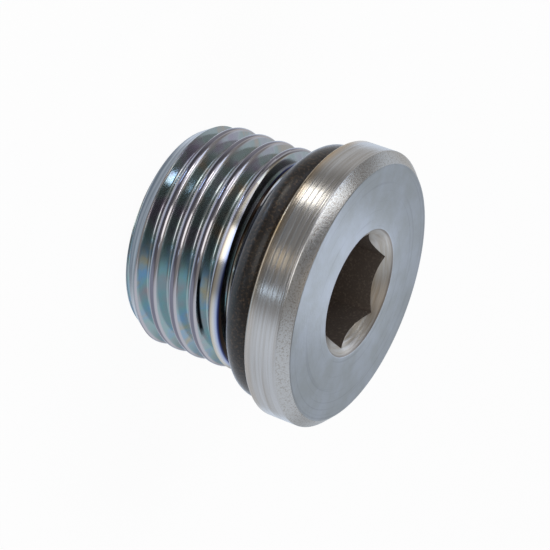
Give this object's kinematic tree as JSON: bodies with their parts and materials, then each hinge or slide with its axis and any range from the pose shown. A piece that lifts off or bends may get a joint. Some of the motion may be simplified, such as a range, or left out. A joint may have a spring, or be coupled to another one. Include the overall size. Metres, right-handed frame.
{
  "type": "hollow hex o-ring boss plug",
  "caption": "Short threaded hydraulic port plug with a flat round bevelled head, a hexagon socket, a neck with a rubber O-ring under the head and a straight thread.",
  "frame": {"origin": "centre of the nose, the flat end of the thread, on which the plug stands", "axes": "+Z along the thread axis, out of the head; +X through a corner of the hexagon socket"},
  "size_m": [0.0175, 0.0174, 0.0126],
  "materials": {
    "zinc_plated_steel": "turned and zinc plated, semi-bright",
    "nitrile_rubber": "moulded, matte"
  },
  "bodies": {
    "root": {"plug_body": "zinc_plated_steel", "o_ring": "nitrile_rubber"}
  },
  "joints": []
}
